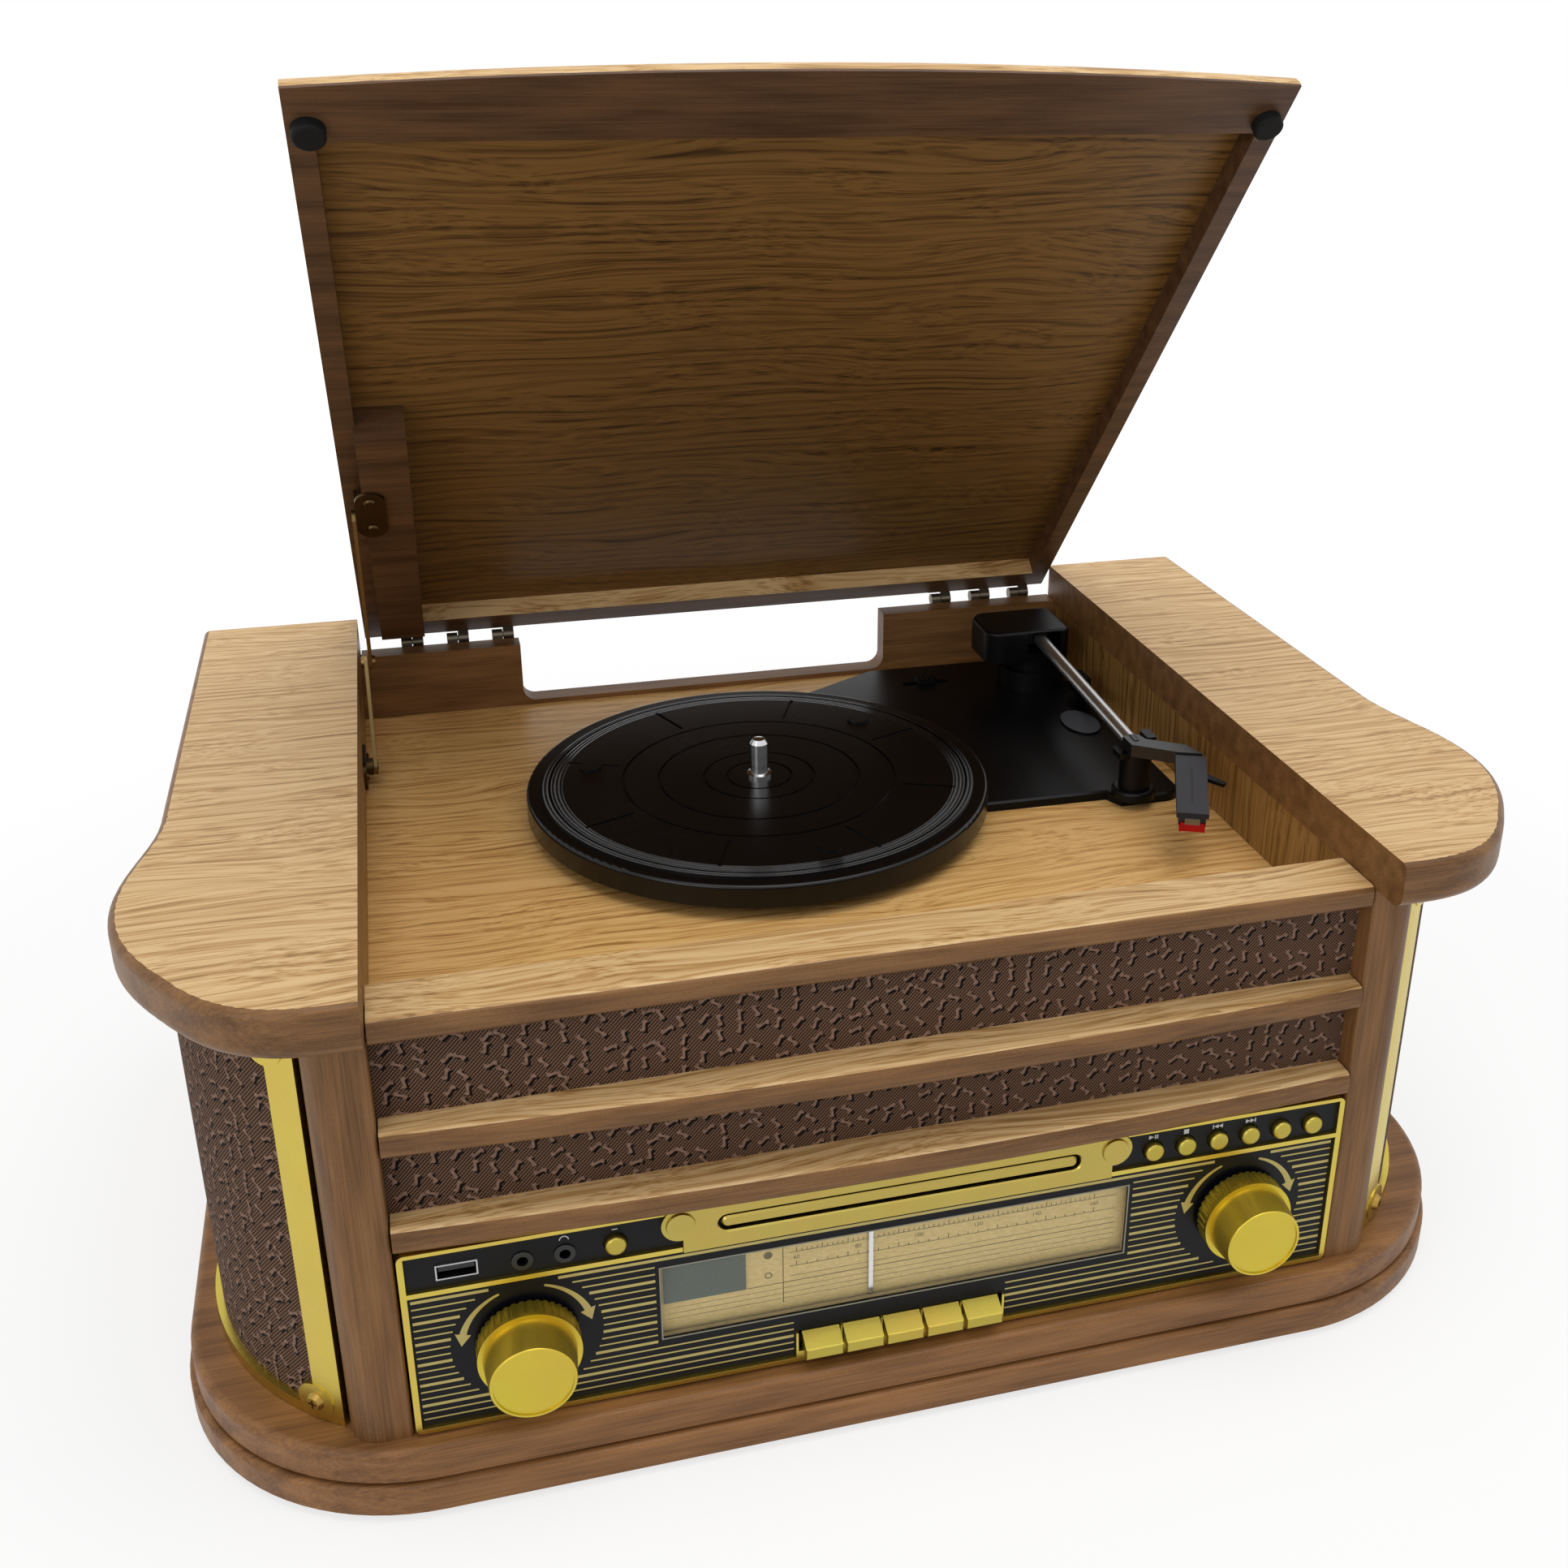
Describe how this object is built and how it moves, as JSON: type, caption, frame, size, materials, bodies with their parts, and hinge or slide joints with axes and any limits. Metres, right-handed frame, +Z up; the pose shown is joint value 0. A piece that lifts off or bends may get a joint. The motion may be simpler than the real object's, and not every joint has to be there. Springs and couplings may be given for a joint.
{
  "type": "turntable music centre",
  "caption": "Retro wooden music centre with a record player under a hinged lid, radio dial, disc drawer, knobs, keys and curved speaker grilles.",
  "frame": {"origin": "centre of the underside of the feet, on the surface the cabinet stands on; the lid is stored open as pictured", "axes": "+X to the cabinet's right as seen from the front, +Y from the front to the back, +Z up"},
  "size_m": [0.484, 0.343, 0.4425],
  "materials": {
    "walnut": "dark walnut-stained veneer, satin",
    "oak": "light oak veneer, satin",
    "lid_wood": "brown oak veneer, satin",
    "cloth": "brown woven speaker cloth",
    "gold": "satin gold",
    "black_panel": "black satin",
    "dial_cream": "cream printed dial",
    "clear": "clear pane",
    "silver": "polished",
    "steel": "zinc plated",
    "brass_dark": "aged brass",
    "black_plastic": "black moulded, satin",
    "grey_plastic": "grey moulded, satin",
    "knob_gold": "satin gold with fluted skirt",
    "rubber": "matte rubber",
    "board_green": "green circuit board",
    "paper_cone": "black speaker cone"
  },
  "bodies": {
    "cabinet": {"base": "walnut", "feet": "rubber", "side_panels": "oak", "posts": "walnut", "grille_cloths": "cloth", "grille_frames": "gold", "grille_screws": "brass_dark", "caps": "oak", "well_walls": "oak", "deck_board": "oak", "sill": "oak", "front_board": "walnut", "front_cloth": "cloth", "rails": "oak", "back_panel": "walnut", "rear_sockets": "black_plastic", "panel_plate": "black_panel", "panel_frame": "gold", "cd_plate": "gold", "cd_drive": "steel", "dial_board": "dial_cream", "dial_window": "clear", "front_sockets": "black_plastic", "main_board": "board_green", "deck_plate": "black_plastic", "motor": "steel", "tonearm_base": "black_plastic", "speakers": "paper_cone", "hinge_leaves": "brass_dark", "stay_bracket": "brass_dark"},
    "lid": {"lid_panel": "lid_wood", "lid_frame": "walnut", "lid_bumpers": "rubber", "lid_hinge_leaves": "brass_dark", "lid_stay_bracket": "brass_dark"},
    "stay_upper": {"stay_arm_upper": "brass_dark"},
    "stay_lower": {"stay_arm_lower": "brass_dark"},
    "platter": {"platter": "black_plastic", "spindle": "silver"},
    "arm_yoke": {"tonearm_yoke": "black_plastic"},
    "arm": {"tonearm_tube": "silver", "headshell": "grey_plastic"},
    "cue_lever": {"cue_lever": "black_plastic"},
    "speed_switch": {"speed_switch": "black_plastic"},
    "needle": {"needle": "silver"},
    "volume_knob": {"volume_knob": "knob_gold"},
    "tuning_knob": {"tuning_knob": "knob_gold"},
    "cd_tray": {"cd_tray": "gold"},
    "record_button": {"record_button": "knob_gold"},
    "key_1": {"key_1": "gold"},
    "key_2": {"key_2": "gold"},
    "key_3": {"key_3": "gold"},
    "key_4": {"key_4": "gold"},
    "key_5": {"key_5": "gold"},
    "cd_button_1": {"cd_button_1": "knob_gold"},
    "cd_button_2": {"cd_button_2": "knob_gold"},
    "cd_button_3": {"cd_button_3": "knob_gold"},
    "cd_button_4": {"cd_button_4": "knob_gold"},
    "cd_button_5": {"cd_button_5": "knob_gold"},
    "cd_button_6": {"cd_button_6": "knob_gold"}
  },
  "joints": [
    {"name": "lid_hinge", "type": "hinge", "parent": "cabinet", "child": "lid", "pos_m": [0, 0.1628, 0.1882], "axis": [-1, 0, 0], "range_deg": [-49, 0]},
    {"name": "stay_upper_pivot", "type": "hinge", "parent": "lid", "child": "stay_upper", "pos_m": [-0.1593, 0.08883, 0.2684], "axis": [1, 0, 0], "range_deg": [-1, 32]},
    {"name": "stay_lower_pivot", "type": "hinge", "parent": "cabinet", "child": "stay_lower", "pos_m": [-0.1612, 0.07798, 0.16582], "axis": [1, 0, 0], "range_deg": [-41, 1]},
    {"name": "platter_turn", "type": "hinge", "parent": "cabinet", "child": "platter", "pos_m": [-0.0125, 0.017, 0.165], "axis": [0, 0, -1], "continuous": true},
    {"name": "arm_swing", "type": "hinge", "parent": "cabinet", "child": "arm_yoke", "pos_m": [0.1403, 0.113, 0.18], "axis": [0, 0, -1], "range_deg": [0, 40]},
    {"name": "arm_lift", "type": "hinge", "parent": "arm_yoke", "child": "arm", "pos_m": [0.1403, 0.113, 0.1855], "axis": [-1, 0, 0], "range_deg": [0, 8]},
    {"name": "cue_turn", "type": "hinge", "parent": "cabinet", "child": "cue_lever", "pos_m": [0.152, 0.088, 0.169], "axis": [-1, 0, 0], "range_deg": [0, 60]},
    {"name": "speed_slide", "type": "slide", "parent": "cabinet", "child": "speed_switch", "axis": [1, 0, 0], "range_m": [-0.006, 0.006]},
    {"name": "needle_slide", "type": "slide", "parent": "cabinet", "child": "needle", "axis": [1, 0, 0], "range_m": [-0.027, 0.085]},
    {"name": "volume_turn", "type": "hinge", "parent": "cabinet", "child": "volume_knob", "pos_m": [-0.1265, -0.16, 0.0597], "axis": [0, 1, 0], "range_deg": [-150, 150]},
    {"name": "tuning_turn", "type": "hinge", "parent": "cabinet", "child": "tuning_knob", "pos_m": [0.1265, -0.16, 0.0597], "axis": [0, 1, 0], "range_deg": [-429, 1352]},
    {"name": "tray_slide", "type": "slide", "parent": "cabinet", "child": "cd_tray", "axis": [0, -1, 0], "range_m": [0, 0.118]},
    {"name": "record_push", "type": "slide", "parent": "cabinet", "child": "record_button", "axis": [0, 1, 0], "range_m": [0, 0.001], "stiffness_N_per_m": 400, "springref_m": -0.0005},
    {"name": "key_1_push", "type": "slide", "parent": "cabinet", "child": "key_1", "axis": [0, 1, 0], "range_m": [0, 0.0025], "stiffness_N_per_m": 300, "springref_m": -0.001},
    {"name": "key_2_push", "type": "slide", "parent": "cabinet", "child": "key_2", "axis": [0, 1, 0], "range_m": [0, 0.0025], "stiffness_N_per_m": 300, "springref_m": -0.001},
    {"name": "key_3_push", "type": "slide", "parent": "cabinet", "child": "key_3", "axis": [0, 1, 0], "range_m": [0, 0.0025], "stiffness_N_per_m": 300, "springref_m": -0.001},
    {"name": "key_4_push", "type": "slide", "parent": "cabinet", "child": "key_4", "axis": [0, 1, 0], "range_m": [0, 0.0025], "stiffness_N_per_m": 300, "springref_m": -0.001},
    {"name": "key_5_push", "type": "slide", "parent": "cabinet", "child": "key_5", "axis": [0, 1, 0], "range_m": [0, 0.0025], "stiffness_N_per_m": 300, "springref_m": -0.001},
    {"name": "cd_button_1_push", "type": "slide", "parent": "cabinet", "child": "cd_button_1", "axis": [0, 1, 0], "range_m": [0, 0.001], "stiffness_N_per_m": 400, "springref_m": -0.0005},
    {"name": "cd_button_2_push", "type": "slide", "parent": "cabinet", "child": "cd_button_2", "axis": [0, 1, 0], "range_m": [0, 0.001], "stiffness_N_per_m": 400, "springref_m": -0.0005},
    {"name": "cd_button_3_push", "type": "slide", "parent": "cabinet", "child": "cd_button_3", "axis": [0, 1, 0], "range_m": [0, 0.001], "stiffness_N_per_m": 400, "springref_m": -0.0005},
    {"name": "cd_button_4_push", "type": "slide", "parent": "cabinet", "child": "cd_button_4", "axis": [0, 1, 0], "range_m": [0, 0.001], "stiffness_N_per_m": 400, "springref_m": -0.0005},
    {"name": "cd_button_5_push", "type": "slide", "parent": "cabinet", "child": "cd_button_5", "axis": [0, 1, 0], "range_m": [0, 0.001], "stiffness_N_per_m": 400, "springref_m": -0.0005},
    {"name": "cd_button_6_push", "type": "slide", "parent": "cabinet", "child": "cd_button_6", "axis": [0, 1, 0], "range_m": [0, 0.001], "stiffness_N_per_m": 400, "springref_m": -0.0005}
  ],
  "couplings": [
    {"joint": "stay_upper_pivot", "follows": "lid_hinge", "ratio": -0.618},
    {"joint": "stay_lower_pivot", "follows": "lid_hinge", "ratio": 0.815},
    {"joint": "needle_slide", "follows": "tuning_turn", "m_per_rad": 0.0036}
  ]
}
